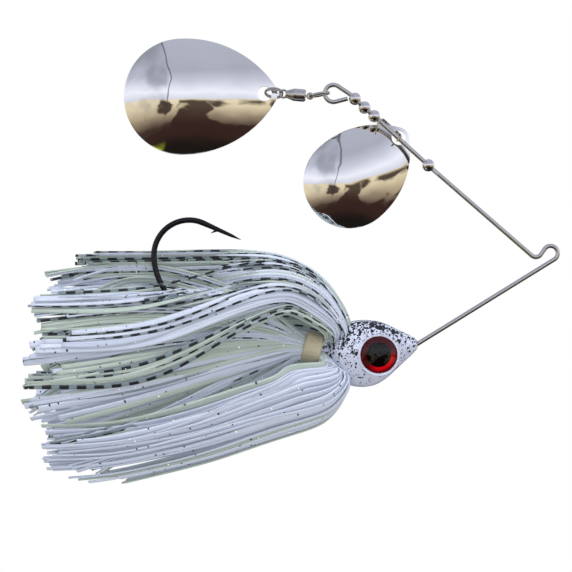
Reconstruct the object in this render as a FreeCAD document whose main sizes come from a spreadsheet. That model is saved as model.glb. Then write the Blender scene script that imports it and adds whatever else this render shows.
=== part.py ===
import FreeCAD, Part
import Sketcher
import math
import os
from FreeCAD import Placement, Rotation, Vector

# A double-blade spinnerbait: a bent wire arm with a lead head, an upturned hook, a collared
# silicone skirt, a small blade on a clevis and a large blade on a ball-bearing swivel.
# All lengths are millimetres. The wire arm lies in the XZ plane, +X runs to the line tie,
# +Z is up, and the origin is the centre of the line-tie bend.

doc = FreeCAD.newDocument("Spinnerbait")
sheet = doc.addObject("Spreadsheet::Sheet", "Sizes")

SIZES = {
    # wire arm
    "wire_diameter": 1.0,
    "tie_bend_radius": 1.65,
    "reverse_bend_radius": 1.4,
    "lower_arm_heading": 31.7,
    "cast_in_run": 13.5,
    "lower_arm_run": 36.4,
    "tie_bend_turn": 204.3,
    "tie_neck_run": 1.45,
    "reverse_bend_turn": 97.05,
    "upper_arm_run": 29.4,
    "arm_bow_turn": 1.1,
    "arm_bow_radius": 20.0,
    "blade_arm_run": 25.4,
    "loop_kick_turn": 8.5,
    "loop_kick_radius": 4.0,
    "loop_neck_run": 2.7,
    "loop_radius": 1.95,
    "loop_turn": 228.0,
    "loop_tail_run": 2.8,
    "crimp_length": 1.5,
    "crimp_width": 1.6,
    "crimp_thickness": 0.6,
    "crimp_gap": 0.1,
    # hook
    "hook_wire": 1.3,
    "hook_eye_wire": 1.1,
    "hook_eye_radius": 1.8,
    "hook_eye_x": -39.0,
    "hook_eye_z": -26.1,
    "shank_heading": 163.2,
    "shank_run": 41.45,
    "heel_radius": 13.7,
    "heel_turn": 73.2,
    "throat_radius": 8.0,
    "throat_turn": 114.0,
    "spear_length": 7.1,
    "spear_end_diameter": 0.75,
    "point_length": 2.2,
    "point_diameter": 0.12,
    "barb_station": 3.9,
    "barb_length": 1.5,
    "barb_heel": 0.75,
    "barb_root": 0.45,
    "barb_tip": 0.03,
    "barb_height": 1.45,
    "barb_width": 0.5,
    # head
    "head_flatness": 0.7,
    "keeper_radius": 1.9,
    "keeper_length": 6.4,
    "keeper_back": 2.2,
    "ridge_radius": 2.15,
    "ridge_length": 0.8,
    "ridge_station": 1.4,
    # eyes
    "eye_x": -39.3,
    "eye_z": -22.9,
    "eye_diameter": 8.4,
    "eye_boss_diameter": 9.4,
    "eye_boss_face": 4.9,
    "eye_floor": 3.7,
    "eye_pocket_depth": 3.0,
    "eye_play": 0.05,
    "foil_thickness": 0.2,
    "pupil_diameter": 5.4,
    "pupil_thickness": 0.15,
    "lens_edge": 0.75,
    "lens_crown": 0.85,
    # collar and skirt
    "collar_x": -54.2,
    "collar_z": -21.5,
    "collar_length": 4.2,
    "collar_radius": 3.75,
    "collar_bore": 3.0,
    "collar_edge": 0.4,
    "strand_core_radius": 2.95,
    "strand_core_bore": 2.25,
    "strand_core_length": 9.6,
    "strand_core_inset": 0.2,
    "strand_core_neck": 4.0,
    "strand_core_shoulder": 4.6,
    "hook_play": 0.1,
    "bundle_gap": 0.4,
    "hook_slot": 1.1,
    "hook_slot_start": -125.0,
    "hook_slot_floor": -21.0,
    "hook_slot_length": 90.0,
    "hook_slot_height": 60.0,
    # beads
    "bead_diameter": 2.85,
    "bead_bore": 1.1,
    "middle_bead_step": 2.95,
    "bead_play": 0.1,
    "bead_drill": 6.0,
    # clevis
    "clevis_width": 1.6,
    "clevis_thickness": 0.36,
    "clevis_span": 5.9,
    "clevis_reach": 5.2,
    "clevis_ear": 1.1,
    "clevis_bow_radius": 1.6,
    "clevis_hole": 1.14,
    "clevis_station": 9.0,
    "clevis_turn": 10.0,
    "clevis_overrun": 1.0,
    "clevis_drill": 12.0,
    "small_hole_lift": 0.2,
    # blades
    "blade_length": 35.0,
    "blade_width": 26.4,
    "blade_widest": 21.3,
    "blade_side_radius": 24.6,
    "blade_bow_radius": 19.0,
    "blade_hole": 3.3,
    "blade_hole_station": 2.95,
    "blade_margin": 0.6,
    "blade_tool_reach": 15.0,
    "large_blade_thickness": 0.65,
    "small_blade_thickness": 0.55,
    "small_blade_scale": 0.8,
    "large_blade_depth": 0.1,
    "small_blade_depth": 1.7,
    "large_blade_heading": 181.9,
    "small_blade_heading": 222.0,
    # ring, swivel and split ring
    "hanger_radius": 2.17,
    "hanger_wire": 0.64,
    "hanger_tilt": 10.0,
    "hanger_play": 0.1,
    "swivel_rise": 4.8,
    "shaft_wire": 0.45,
    "shaft_eye_radius": 0.62,
    "shaft_stem_radius": 0.2,
    "shaft_lap": 0.1,
    "shaft_head_radius": 0.75,
    "shaft_head_length": 0.4,
    "shaft_head_station": 2.35,
    "barrel_start": 0.98,
    "barrel_end": 5.6,
    "barrel_radius": 1.42,
    "barrel_mouth_radius": 1.15,
    "barrel_tail_radius": 0.68,
    "barrel_lip_radius": 0.83,
    "barrel_chamfer": 0.35,
    "barrel_taper": 1.9,
    "barrel_lip": 0.2,
    "barrel_bore": 1.0,
    "barrel_bore_end": 3.4,
    "cap_thickness": 0.42,
    "cap_bore": 0.27,
    "ball_radius": 0.33,
    "ball_circle": 0.62,
    "ball_station": 1.8,
    "tail_eye_radius": 0.85,
    "tail_eye_wire": 0.5,
    "tail_eye_station": 6.06,
    "split_ring_radius": 2.0,
    "split_ring_wire": 0.38,
    "split_ring_pitch": 0.4,
    "split_ring_turns": 1.9,
    "split_ring_tilt": 25.0,
    "split_ring_start": 18.0,
    "split_ring_inset": 0.2,
    "large_hole_back": 0.1,
    "large_hole_lift": -0.25,
}



def fill_row(row, alias, value):
    """Names one number in a row of the sheet."""
    sheet.set(f"A{row}", alias)
    sheet.set(f"B{row}", str(value))
    sheet.setAlias(f"B{row}", alias)


for row, (alias, value) in enumerate(SIZES.items(), start=1):
    fill_row(row, alias, value)
doc.recompute()

pieces = []


def size(alias):
    """The number in a named cell of the sheet."""
    return float(sheet.get(alias))


def bind(item, **sizes):
    """Ties properties of an object to formulas of the sheet's cells."""
    for name, formula in sizes.items():
        item.setExpression(name, formula)
    return item


def piece(item, label):
    """Marks an object as a finished sub-part of the lure."""
    item.Label = label
    pieces.append(item)
    return item


def heading(degrees):
    """The unit vector in the XZ plane that points this far round from +X towards +Z."""
    return Vector(math.cos(math.radians(degrees)), 0, math.sin(math.radians(degrees)))


def primitive(kind, name, place, **sizes):
    """A Part primitive or curve whose sizes come from the sheet."""
    item = bind(doc.addObject(f"Part::{kind}", name), **sizes)
    item.Placement = place
    return item


def along(point, direction):
    """A place at a point, with its local Z turned to a direction."""
    return Placement(point, Rotation(Vector(0, 0, 1), direction))


def cut(name, base, tool):
    item = doc.addObject("Part::Cut", name)
    item.Base = base
    item.Tool = tool
    return item


def fuse(name, shapes):
    item = doc.addObject("Part::MultiFuse", name)
    item.Shapes = shapes
    return item


def bend_path(start, start_heading, steps):
    """Runs and bends of a wire in the XZ plane: each step is (run, turn, radius), where a positive
    turn is to the left. Gives the wire, and the point and heading after every step."""
    edges = []
    stations = []
    point = start
    angle = start_heading
    for run, turn, radius in steps:
        if run:
            after = point + heading(angle) * run
            edges.append(Part.LineSegment(point, after).toShape())
            point = after
        if turn:
            side = math.copysign(90, turn)
            centre = point + heading(angle + side) * radius
            spoke = angle - side
            middle = centre + heading(spoke + turn / 2) * radius
            after = centre + heading(spoke + turn) * radius
            edges.append(Part.Arc(point, middle, after).toShape())
            point = after
            angle += turn
        stations.append((point, angle))
    return Part.Wire(edges), stations


def swept_wire(name, path, start, direction, diameter):
    """Round wire of a sheet diameter along a path."""
    spine = doc.addObject("Part::Feature", f"{name}_path")
    spine.Shape = path
    section = primitive("Circle", f"{name}_section", along(start, direction), Radius=f"{diameter} / 2")
    sweep = doc.addObject("Part::Sweep", f"{name}_sweep")
    sweep.Sections = [section]
    sweep.Spine = (spine, [f"Edge{number + 1}" for number in range(len(path.Edges))])
    sweep.Solid = True
    sweep.Frenet = False
    return sweep


def turned(label, place, corners):
    """A piece turned about its local X axis, from the (x, radius) formulas of its profile."""
    body = doc.addObject("PartDesign::Body", f"{label}_body")
    sketch = body.newObject("Sketcher::SketchObject", f"{label}_profile")
    plane = next(item for item in body.Origin.OriginFeatures if item.Role == "XY_Plane")
    sketch.AttachmentSupport = (plane, [""])
    sketch.MapMode = "FlatFace"
    values = [Vector(sketch.evalExpression(x), sketch.evalExpression(radius), 0) for x, radius in corners]
    count = len(corners)
    for number in range(count):
        sketch.addGeometry(Part.LineSegment(values[number], values[(number + 1) % count]), False)
    for number in range(count):
        sketch.addConstraint(Sketcher.Constraint("Coincident", number, 2, (number + 1) % count, 1))
    for number, formulas in enumerate(corners):
        for kind, value, formula in zip(("DistanceX", "DistanceY"), values[number], formulas):
            index = sketch.addConstraint(Sketcher.Constraint(kind, -1, 1, number, 1, value))
            sketch.setExpression(f"Constraints[{index}]", formula)
    turning = body.newObject("PartDesign::Revolution", f"{label}_turning")
    turning.Profile = sketch
    turning.ReferenceAxis = (sketch, ["H_Axis"])
    turning.Angle = 360
    body.Placement = place
    return piece(body, label)


def shifted(place, x, y, z):
    """A place moved by its own X, Y and Z."""
    return place.multiply(Placement(Vector(x, y, z), Rotation()))


ACROSS = Rotation(Vector(1, 0, 0), 90)  # turns local Z to -Y
TOUCH = 0.001
SIDES = {"left": 1, "right": -1}


# --- wire arm: line-tie bend, lower arm cast into the head, upper arm and its closed end loop ---
tie_radius = size("tie_bend_radius")
lower_heading = size("lower_arm_heading")
bend_start = heading(lower_heading - 90) * tie_radius
arm_start = bend_start - heading(lower_heading) * (size("cast_in_run") + size("lower_arm_run"))
arm_path, arm_stations = bend_path(
    arm_start,
    lower_heading,
    [
        (size("cast_in_run") + size("lower_arm_run"), size("tie_bend_turn"), tie_radius),
        (size("tie_neck_run"), -size("reverse_bend_turn"), size("reverse_bend_radius")),
        (size("upper_arm_run"), -size("arm_bow_turn"), size("arm_bow_radius")),
        (size("blade_arm_run"), size("loop_kick_turn"), size("loop_kick_radius")),
        (size("loop_neck_run"), size("loop_turn"), size("loop_radius")),
        (size("loop_tail_run"), 0, 0),
    ],
)
arm_point, arm_heading = arm_stations[2]
arm_along = heading(arm_heading)
stop_bead_station = size("bead_diameter") / 2
clevis_low = stop_bead_station + size("clevis_station")
clevis_high = clevis_low + size("clevis_span")


def on_arm(station):
    """A place on the straight that carries the small blade, with local Z up the wire."""
    return along(arm_point + arm_along * station, arm_along)


arm_sweep = swept_wire("arm", arm_path, arm_start, heading(lower_heading), "Sizes.wire_diameter")
crimp = primitive(
    "Box",
    "crimp",
    shifted(
        Placement(arm_point, Rotation(Vector(0, 1, 0), -arm_heading)),
        -size("crimp_length") - size("crimp_gap"),
        -size("crimp_width") / 2,
        -size("crimp_thickness") / 2,
    ),
    Length="Sizes.crimp_length",
    Width="Sizes.crimp_width",
    Height="Sizes.crimp_thickness",
)
wire_frame = piece(fuse("wire_frame_fused", [arm_sweep, crimp]), "wire_frame")

# --- hook: eye, straight shank, two bends, tapering spear with a barb and a sharp point ---
eye_centre = Vector(size("hook_eye_x"), 0, size("hook_eye_z"))
shank = heading(size("shank_heading"))
shank_start = eye_centre + shank * size("hook_eye_radius")
hook_path, hook_stations = bend_path(
    shank_start,
    size("shank_heading"),
    [
        (size("shank_run"), -size("heel_turn"), size("heel_radius")),
        (0, -size("throat_turn"), size("throat_radius")),
    ],
)
spear_start, spear_heading = hook_stations[1]
spear = heading(spear_heading)
hook_sweep = swept_wire("hook", hook_path, shank_start, shank, "Sizes.hook_wire")
hook_eye = primitive(
    "Torus",
    "hook_eye",
    along(eye_centre, heading(size("shank_heading") - 90)),
    Radius1="Sizes.hook_eye_radius",
    Radius2="Sizes.hook_eye_wire / 2",
)
spear_cone = primitive(
    "Cone",
    "spear_cone",
    along(spear_start, spear),
    Radius1="Sizes.hook_wire / 2",
    Radius2="Sizes.spear_end_diameter / 2",
    Height="Sizes.spear_length",
)
point_cone = primitive(
    "Cone",
    "point_cone",
    along(spear_start + spear * size("spear_length"), spear),
    Radius1="Sizes.spear_end_diameter / 2",
    Radius2="Sizes.point_diameter / 2",
    Height="Sizes.point_length",
)
barb = primitive(
    "Wedge",
    "barb",
    Placement(spear_start + spear * size("barb_station"), Rotation(Vector(0, 1, 0), -spear_heading)).multiply(
        Placement(Vector(0, -size("barb_width") / 2, 0), Rotation(Vector(1, 0, 0), -90))
    ),
    Xmin="-Sizes.barb_heel",
    Xmax="Sizes.barb_root",
    X2min="-Sizes.barb_length",
    X2max="Sizes.barb_tip - Sizes.barb_length",
    Ymin="0",
    Ymax="Sizes.barb_height",
    Zmin="0",
    Zmax="Sizes.barb_width",
    Z2min="0",
    Z2max="Sizes.barb_width",
)
hook = piece(fuse("hook_fused", [hook_sweep, hook_eye, spear_cone, point_cone, barb]), "hook")

# --- head: lead cast round the hook eye and wire, with a raised seat for each eye ---
HEAD_STATIONS = {  # x: (centre height, half height)
    -30.3: (-20.75, 0.9),
    -31.4: (-20.95, 2.0),
    -33.0: (-21.3, 3.15),
    -36.0: (-22.0, 5.3),
    -40.0: (-22.65, 7.3),
    -43.5: (-22.8, 7.6),
    -47.0: (-22.75, 6.6),
    -49.3: (-22.6, 4.3),
    -50.4: (-22.65, 2.6),
}
head_sections = []
for number, (station, (centre_height, half_height)) in enumerate(HEAD_STATIONS.items()):
    fill_row(len(SIZES) + 1 + number, f"head_half_height_{number}", half_height)
    doc.recompute()
    section = primitive(
        "Ellipse",
        f"head_section_{number}",
        Placement(
            Vector(station, 0, centre_height),
            Rotation(Vector(0, 0, 1), Vector(0, 1, 0), Vector(-1, 0, 0), "XYZ"),
        ),
        MajorRadius=f"Sizes.head_half_height_{number}",
        MinorRadius=f"Sizes.head_half_height_{number} * Sizes.head_flatness",
    )
    head_sections.append(section)
head_loft = doc.addObject("Part::Loft", "head_loft")
head_loft.Sections = head_sections
head_loft.Solid = True
head_loft.Ruled = False
collar_centre = Vector(size("collar_x"), 0, size("collar_z"))
keeper = primitive(
    "Cylinder",
    "keeper",
    along(collar_centre - shank * (size("keeper_length") - size("keeper_back")), shank),
    Radius="Sizes.keeper_radius",
    Height="Sizes.keeper_length",
)
ridge = primitive(
    "Cylinder",
    "ridge",
    along(collar_centre + shank * size("ridge_station"), shank),
    Radius="Sizes.ridge_radius",
    Height="Sizes.ridge_length",
)
boss = primitive(
    "Cylinder",
    "eye_boss",
    Placement(Vector(size("eye_x"), size("eye_boss_face"), size("eye_z")), ACROSS),
    Radius="Sizes.eye_boss_diameter / 2",
    Height="Sizes.eye_boss_face * 2",
)
pockets = []
for side, sign in SIDES.items():
    floor = Vector(size("eye_x"), sign * size("eye_floor"), size("eye_z"))
    pocket = primitive(
        "Cylinder",
        f"eye_pocket_{side}",
        along(floor, Vector(0, sign, 0)),
        Radius="Sizes.eye_diameter / 2",
        Height="Sizes.eye_pocket_depth",
    )
    pockets.append(pocket)
head_blank = fuse("head_blank", [head_loft, keeper, ridge, boss])
head = piece(cut("head_cut", head_blank, fuse("head_tools", pockets + [wire_frame, hook])), "head")

# --- eyes: foil disc, pupil disc and a clear dome on each side of the head ---
for side, sign in SIDES.items():
    facing = along(Vector(size("eye_x"), sign * size("eye_floor"), size("eye_z")), Vector(0, sign, 0))
    foil = primitive(
        "Cylinder",
        f"foil_{side}",
        facing,
        Radius="Sizes.eye_diameter / 2 - Sizes.eye_play",
        Height="Sizes.foil_thickness",
    )
    piece(foil, f"eye_foil_{side}")
    lens_base = shifted(facing, 0, 0, size("foil_thickness"))
    pupil = primitive(
        "Cylinder",
        f"pupil_{side}",
        lens_base,
        Radius="Sizes.pupil_diameter / 2",
        Height="Sizes.pupil_thickness",
    )
    piece(pupil, f"eye_pupil_{side}")
    half_chord = size("eye_diameter") / 2 - size("eye_play")
    crown = size("lens_crown")
    dome_radius = (half_chord**2 + crown**2) / (2 * crown)
    dome_drop = dome_radius - crown - size("lens_edge")
    dome = primitive(
        "Sphere",
        f"dome_{side}",
        shifted(lens_base, 0, 0, -dome_drop),
        Radius=f"{dome_radius}",
    )
    lens_edge = primitive(
        "Cylinder",
        f"lens_edge_{side}",
        lens_base,
        Radius="Sizes.eye_diameter / 2 - Sizes.eye_play",
        Height="Sizes.eye_pocket_depth",
    )
    lens_blank = doc.addObject("Part::Common", f"lens_blank_{side}")
    lens_blank.Base = dome
    lens_blank.Tool = lens_edge
    piece(cut(f"lens_{side}", lens_blank, pupil), f"eye_lens_{side}")

# --- collar and the bunch of strands that it holds on the keeper ---
collar_place = Placement(collar_centre, Rotation(Vector(0, 1, 0), -size("shank_heading")))
turned(
    "skirt_collar",
    collar_place,
    [
        ("-Sizes.collar_length / 2", "Sizes.collar_bore"),
        ("-Sizes.collar_length / 2", "Sizes.collar_radius - Sizes.collar_edge"),
        ("-Sizes.collar_length / 2 + Sizes.collar_edge", "Sizes.collar_radius"),
        ("Sizes.collar_length / 2 - Sizes.collar_edge", "Sizes.collar_radius"),
        ("Sizes.collar_length / 2", "Sizes.collar_radius - Sizes.collar_edge"),
        ("Sizes.collar_length / 2", "Sizes.collar_bore"),
    ],
)
core_start = "Sizes.strand_core_inset - Sizes.collar_length / 2"
core_end = "Sizes.strand_core_length - Sizes.collar_length / 2"
turned(
    "skirt_inner_strands",
    collar_place,
    [
        (core_start, "Sizes.strand_core_bore"),
        (core_start, "Sizes.strand_core_radius"),
        (core_end, "Sizes.strand_core_radius"),
        (core_end, "Sizes.hook_wire / 2 + Sizes.hook_play"),
        (f"{core_end} - Sizes.strand_core_neck", "Sizes.hook_wire / 2 + Sizes.hook_play"),
        (f"{core_end} - Sizes.strand_core_shoulder", "Sizes.strand_core_bore"),
    ],
)

# --- skirt: bundles of strands round the keeper, flared over the head and swept back to the tail ---
SKIRT_STATIONS = {  # x: (top, bottom, half width, height of the hollow's centre, its radius)
    -46.8: (-14.0, -32.8, 9.4, -22.8, 7.5),
    -49.5: (-8.6, -37.4, 12.0, -22.5, 6.4),
    -54.7: (-3.6, -39.6, 13.5, -21.4, 4.7),
    -60.3: (-0.6, -41.3, 14.3, -21.6, 5.6),
    -72.2: (0.4, -45.4, 14.8, -23.2, 7.0),
    -88.8: (0.4, -49.3, 14.5, -24.8, 8.5),
    -100.6: (-0.6, -52.6, 13.0, -26.0, 8.5),
    -111.0: (-4.5, -49.0, 10.5, -27.0, 6.5),
    -118.0: (-21.5, -36.0, 5.5, -28.5, 3.5),
}
BUNDLES = 12


def bundle_section(station, shape, first, last):
    """The outline of one bundle at one station: a wedge of the skirt between two angles."""
    top, bottom, half_width, hollow_height, hollow_radius = shape
    middle = (top + bottom) / 2
    half_height = (top - bottom) / 2
    inset = size("bundle_gap") / 2
    points = []
    for angle, side in ((first, 1), ((first + last) / 2, 0), (last, -1)):
        across = math.cos(math.radians(angle)) * half_width
        upward = math.sin(math.radians(angle)) * half_height
        shift = Vector(0, -math.sin(math.radians(angle)), math.cos(math.radians(angle))) * inset * side
        points.append(Vector(station, across, middle + upward) + shift)
    for angle, side in ((last, -1), (first, 1)):
        across = math.cos(math.radians(angle)) * hollow_radius
        upward = math.sin(math.radians(angle)) * hollow_radius
        shift = Vector(0, -math.sin(math.radians(angle)), math.cos(math.radians(angle))) * inset * side
        points.append(Vector(station, across, hollow_height + upward) + shift)
    return Part.makePolygon(points + points[:1])


slot = Part.makeBox(
    size("hook_slot_length"),
    2 * size("hook_slot"),
    size("hook_slot_height"),
    Vector(size("hook_slot_start"), -size("hook_slot"), size("hook_slot_floor")),
)
for number in range(BUNDLES):
    first = number * 360 / BUNDLES
    last = first + 360 / BUNDLES
    sections = [bundle_section(x, shape, first, last) for x, shape in SKIRT_STATIONS.items()]
    bundle = doc.addObject("Part::Feature", f"bundle_{number + 1:02d}")
    bundle.Shape = Part.makeLoft(sections, True, True).cut(slot)
    piece(bundle, f"skirt_bundle_{number + 1:02d}")

# --- beads on the wire: three above the clevis and the one that stops it ---
top_bead = clevis_high + size("clevis_thickness") / 2 + size("bead_play") + size("bead_diameter") / 2
bead_stations = {
    "stop_bead": stop_bead_station,
    "clevis_bead": top_bead,
    "middle_bead": top_bead + size("middle_bead_step"),
    "loop_bead": top_bead + 2 * size("middle_bead_step"),
}
for label, station in bead_stations.items():
    ball = primitive("Sphere", f"{label}_ball", on_arm(station), Radius="Sizes.bead_diameter / 2")
    bore = primitive(
        "Cylinder",
        f"{label}_bore",
        on_arm(station - size("bead_drill") / 2),
        Radius="Sizes.bead_bore / 2",
        Height="Sizes.bead_drill",
    )
    piece(cut(f"{label}_cut", ball, bore), label)


def bent_strip(name, place, bow, **sizes):
    """A block with the two long edges of its far side rounded to a radius."""
    block = primitive("Box", f"{name}_block", place, **sizes)
    doc.recompute()
    outward = place.Rotation.multVec(Vector(1, 0, 0))
    sideways = place.Rotation.multVec(Vector(0, 1, 0))
    far = max(vertex.Point.dot(outward) for vertex in block.Shape.Vertexes)
    edges = []
    for index, edge in enumerate(block.Shape.Edges, start=1):
        lengthwise = abs(edge.tangentAt(edge.FirstParameter).dot(sideways))
        if abs(edge.CenterOfMass.dot(outward) - far) < TOUCH and lengthwise > 1 - TOUCH:
            edges.append((index, bow, bow))
    rounded = doc.addObject("Part::Fillet", name)
    rounded.Base = block
    rounded.Edges = edges
    return rounded


# --- clevis: a folded strip, both ears pierced by the wire, its lower arm through the small blade ---
clevis_frame = Placement(
    arm_point + arm_along * clevis_low,
    Rotation(arm_along, -size("clevis_turn")).multiply(
        Rotation(Vector(0, 1, 0), heading(arm_heading - 90), arm_along, "ZXY")
    ),
)
half_strip = size("clevis_thickness") / 2
outer = bent_strip(
    "clevis_outer",
    shifted(clevis_frame, -size("clevis_ear"), -size("clevis_width") / 2, -half_strip),
    size("clevis_bow_radius"),
    Length="Sizes.clevis_ear + Sizes.clevis_reach",
    Width="Sizes.clevis_width",
    Height="Sizes.clevis_span + Sizes.clevis_thickness",
)
inner = bent_strip(
    "clevis_inner",
    shifted(clevis_frame, -size("clevis_ear") - size("clevis_overrun"), -size("clevis_width"), half_strip),
    size("clevis_bow_radius") - size("clevis_thickness"),
    Length="Sizes.clevis_ear + Sizes.clevis_reach + Sizes.clevis_overrun - Sizes.clevis_thickness",
    Width="Sizes.clevis_width * 2",
    Height="Sizes.clevis_span - Sizes.clevis_thickness",
)
clevis_bore = primitive(
    "Cylinder",
    "clevis_bore",
    on_arm((clevis_low + clevis_high - size("clevis_drill")) / 2),
    Radius="Sizes.clevis_hole / 2",
    Height="Sizes.clevis_drill",
)
piece(cut("clevis_cut", outer, fuse("clevis_tools", [inner, clevis_bore])), "clevis")


# --- blades: sheet metal in a rounded drop shape, domed so that every cross section is one arc ---
blade_half = size("blade_width") / 2
blade_widest = size("blade_widest")
side_radius = size("blade_side_radius")
side_offset = side_radius - blade_half
tip_radius = (side_radius**2 - blade_widest**2 - side_offset**2) / (2 * (side_radius - blade_widest))
end_centre = size("blade_length") - blade_half
tip_tangent = tip_radius * (1 - math.cos(math.atan2(side_offset, blade_widest - tip_radius)))
BLADE_SECTIONS = 14


def blade_half_width(station):
    """Half the width of the full-size outline at a distance from its tip."""
    if station <= tip_tangent:
        return math.sqrt(max(0.0, tip_radius**2 - (tip_radius - station) ** 2))
    if station <= blade_widest:
        return math.sqrt(side_radius**2 - (blade_widest - station) ** 2) - side_offset
    if station <= end_centre:
        return blade_half
    return math.sqrt(max(0.0, blade_half**2 - (station - end_centre) ** 2))


def blade_point(station, side):
    """A point of the outline, measured from the middle of the blade's hole."""
    across = side * blade_half_width(station)
    return Vector(station - size("blade_hole_station"), 0, across)


def blade_outline():
    """The full-size outline in the XZ plane: tip arc, side arcs and end arc."""
    middle = (tip_tangent + blade_widest) / 2
    edges = [
        Part.Arc(blade_point(tip_tangent, -1), blade_point(0, 1), blade_point(tip_tangent, 1)),
        Part.Arc(blade_point(tip_tangent, 1), blade_point(middle, 1), blade_point(blade_widest, 1)),
        Part.LineSegment(blade_point(blade_widest, 1), blade_point(end_centre, 1)),
        Part.Arc(
            blade_point(end_centre, 1), blade_point(size("blade_length"), 1), blade_point(end_centre, -1)
        ),
        Part.LineSegment(blade_point(end_centre, -1), blade_point(blade_widest, -1)),
        Part.Arc(blade_point(blade_widest, -1), blade_point(middle, -1), blade_point(tip_tangent, -1)),
    ]
    return Part.Wire([edge.toShape() for edge in edges])


def domed_blade(label, scale, thickness, hole_centre, blade_heading):
    """One blade with its bulge to -Y and the middle of its hole at a point."""
    bow_radius = size("blade_bow_radius")
    reach = blade_half + size("blade_margin")
    edge_drop = reach**2 / (2 * bow_radius)
    hole_crown = blade_half_width(size("blade_hole_station")) ** 2 / (2 * bow_radius)
    through = Vector(0, thickness / scale, 0)
    sections = []
    for number in range(BLADE_SECTIONS + 1):
        share = (1 - math.cos(math.pi * number / BLADE_SECTIONS)) / 2
        station = size("blade_length") * share
        crown = blade_half_width(station) ** 2 / (2 * bow_radius)
        top = Vector(station - size("blade_hole_station"), hole_crown - crown, 0) - through / 2
        low = top + Vector(0, edge_drop, -reach)
        high = top + Vector(0, edge_drop, reach)
        edges = [
            Part.Arc(low, top, high),
            Part.LineSegment(high, high + through),
            Part.Arc(high + through, top + through, low + through),
            Part.LineSegment(low + through, low),
        ]
        sections.append(Part.Wire([edge.toShape() for edge in edges]))
    dome = Part.makeLoft(sections, True, False)
    outline = Part.Face(blade_outline())
    tool_reach = Vector(0, size("blade_tool_reach"), 0)
    prism = outline.extrude(tool_reach).fuse(outline.extrude(-tool_reach))
    hole_radius = size("blade_hole") / 2 / scale
    hole = Part.makeCylinder(hole_radius, 2 * tool_reach.Length, -tool_reach, Vector(0, 1, 0))
    blade = doc.addObject("Part::Feature", f"{label}_solid")
    blade.Shape = dome.common(prism).cut(hole).scaled(scale, Vector(0, 0, 0)).Solids[0]
    blade.Placement = Placement(hole_centre, Rotation(Vector(0, 1, 0), -blade_heading))
    return piece(blade, label)


hole_shift = -math.tan(math.radians(size("clevis_turn"))) * size("small_blade_depth")
small_hole = on_arm(clevis_low + size("small_hole_lift")).Base
small_hole += heading(arm_heading + 90) * hole_shift + Vector(0, size("small_blade_depth"), 0)
domed_blade(
    "small_blade",
    size("small_blade_scale"),
    size("small_blade_thickness"),
    small_hole,
    size("small_blade_heading"),
)

# --- hanger ring through the end loop ---
loop_end, loop_end_heading = arm_stations[4]
loop_centre = loop_end + heading(loop_end_heading + 90) * size("loop_radius")
hanger_axis = loop_centre + Vector(-size("loop_radius"), 0, 0)
hanger_along = heading(size("hanger_tilt"))
hanger_grip = size("wire_diameter") / 2 + size("hanger_wire") / 2 + size("hanger_play")
hanger_centre = hanger_axis + hanger_along * (hanger_grip - size("hanger_radius"))
hanger = primitive(
    "Torus",
    "hanger",
    along(hanger_centre, heading(size("hanger_tilt") + 90)),
    Radius1="Sizes.hanger_radius",
    Radius2="Sizes.hanger_wire / 2",
)
piece(hanger, "hanger_ring")

# --- ball-bearing swivel: eyed shaft, balls, cap, barrel and tail eye on one axis ---
shaft_centre = hanger_centre - hanger_along * size("hanger_radius")
swivel = Placement(shaft_centre, Rotation(Vector(0, 1, 0), 180 + size("swivel_rise")))


def on_swivel(station):
    """A place on the swivel's axis, with local Z along it."""
    return swivel.multiply(Placement(Vector(station, 0, 0), Rotation(Vector(0, 1, 0), 90)))


def on_swivel_flat(station):
    """A place on the swivel's axis, with local Z across the wire arm's plane."""
    return swivel.multiply(Placement(Vector(station, 0, 0), ACROSS))


shaft_eye = primitive(
    "Torus",
    "shaft_eye",
    on_swivel_flat(0),
    Radius1="Sizes.shaft_eye_radius",
    Radius2="Sizes.shaft_wire / 2",
)
shaft_stem = primitive(
    "Cylinder",
    "shaft_stem",
    on_swivel(size("shaft_eye_radius")),
    Radius="Sizes.shaft_stem_radius",
    Height="Sizes.shaft_head_station - Sizes.shaft_eye_radius + Sizes.shaft_lap",
)
shaft_head = primitive(
    "Cylinder",
    "shaft_head",
    on_swivel(size("shaft_head_station")),
    Radius="Sizes.shaft_head_radius",
    Height="Sizes.shaft_head_length",
)
piece(fuse("shaft_fused", [shaft_eye, shaft_stem, shaft_head]), "swivel_shaft")
BALLS = 5
balls = []
for number in range(BALLS):
    turn = Rotation(Vector(1, 0, 0), number * 360 / BALLS)
    spot = turn.multVec(Vector(size("ball_station"), 0, size("ball_circle")))
    ball_place = shifted(swivel, spot.x, spot.y, spot.z)
    balls.append(primitive("Sphere", f"ball_{number + 1}", ball_place, Radius="Sizes.ball_radius"))
ball_set = doc.addObject("Part::Compound", "ball_set")
ball_set.Links = balls
piece(ball_set, "swivel_balls")
turned(
    "swivel_cap",
    swivel,
    [
        ("Sizes.barrel_start", "Sizes.cap_bore"),
        ("Sizes.barrel_start", "Sizes.barrel_bore"),
        ("Sizes.barrel_start + Sizes.cap_thickness", "Sizes.barrel_bore"),
        ("Sizes.barrel_start + Sizes.cap_thickness", "Sizes.cap_bore"),
    ],
)
tail_eye = primitive(
    "Torus",
    "tail_eye",
    on_swivel_flat(size("tail_eye_station")),
    Radius1="Sizes.tail_eye_radius",
    Radius2="Sizes.tail_eye_wire / 2",
)
piece(tail_eye, "swivel_tail_eye")
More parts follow.
